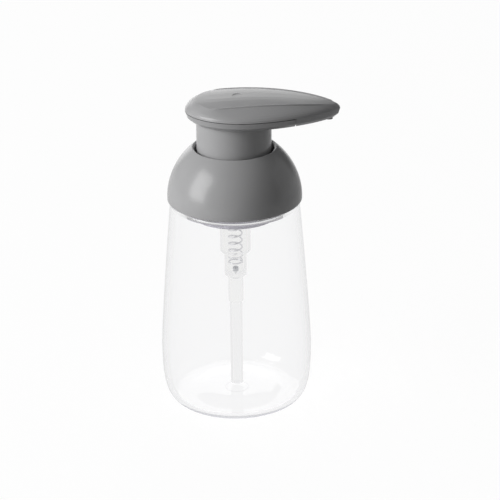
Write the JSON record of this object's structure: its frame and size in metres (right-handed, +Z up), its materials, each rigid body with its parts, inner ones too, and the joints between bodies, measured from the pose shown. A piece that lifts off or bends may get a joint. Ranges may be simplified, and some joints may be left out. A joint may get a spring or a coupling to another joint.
{
  "type": "soap pump dispenser",
  "caption": "Clear tapering bottle with a domed screw collar and a press-down teardrop pump head over a spring-returned piston pump.",
  "frame": {"origin": "centre of the foot, on the surface the bottle stands on", "axes": "+Z up along the pump's axis, +X towards the spout's tip"},
  "size_m": [0.0922, 0.0782, 0.1648],
  "materials": {
    "clear_plastic": "clear gloss",
    "natural_tube": "translucent",
    "natural_housing": "translucent",
    "natural_cup": "translucent",
    "ball_steel": "polished",
    "spring_steel": "bright wire",
    "gasket": "soft matte",
    "white_plastic": "satin",
    "grey_channel": "satin",
    "grey_gloss": "semi gloss"
  },
  "bodies": {
    "bottle": {"bottle": "clear_plastic"},
    "pump": {"inner_cup": "natural_cup", "neck_gasket": "gasket", "pump_cylinder": "natural_housing", "cylinder_gasket": "gasket", "chaplet": "white_plastic", "dip_tube": "natural_tube", "spring": "spring_steel"},
    "collar": {"dome_collar": "grey_gloss", "threaded_ring": "white_plastic"},
    "inlet_valve": {"inlet_ball": "ball_steel"},
    "plunger": {"piston": "white_plastic"},
    "head": {"piston_seat": "white_plastic", "stem": "white_plastic", "spout_channel": "grey_channel", "head_base": "grey_gloss", "head_cover": "grey_gloss"},
    "outlet_valve": {"outlet_ball": "ball_steel"}
  },
  "joints": [
    {"name": "pump_lift", "type": "slide", "parent": "bottle", "child": "pump", "axis": [0, 0, 1], "range_m": [0, 0.13]},
    {"name": "collar_turn", "type": "hinge", "parent": "pump", "child": "collar", "pos_m": [0, 0, 0.12], "axis": [0, 0, 1], "range_deg": [0, 540]},
    {"name": "inlet_ball_lift", "type": "slide", "parent": "pump", "child": "inlet_valve", "axis": [0, 0, 1], "range_m": [0, 0.0009]},
    {"name": "head_press", "type": "slide", "parent": "pump", "child": "plunger", "axis": [0, 0, -1], "range_m": [0, 0.0135], "stiffness_N_per_m": 700, "springref_m": -0.007, "deforming": ["spring"]},
    {"name": "head_turn", "type": "hinge", "parent": "plunger", "child": "head", "pos_m": [0, 0, 0.15], "axis": [0, 0, 1], "continuous": true},
    {"name": "outlet_ball_lift", "type": "slide", "parent": "head", "child": "outlet_valve", "axis": [0, 0, 1], "range_m": [0, 0.0009]}
  ]
}
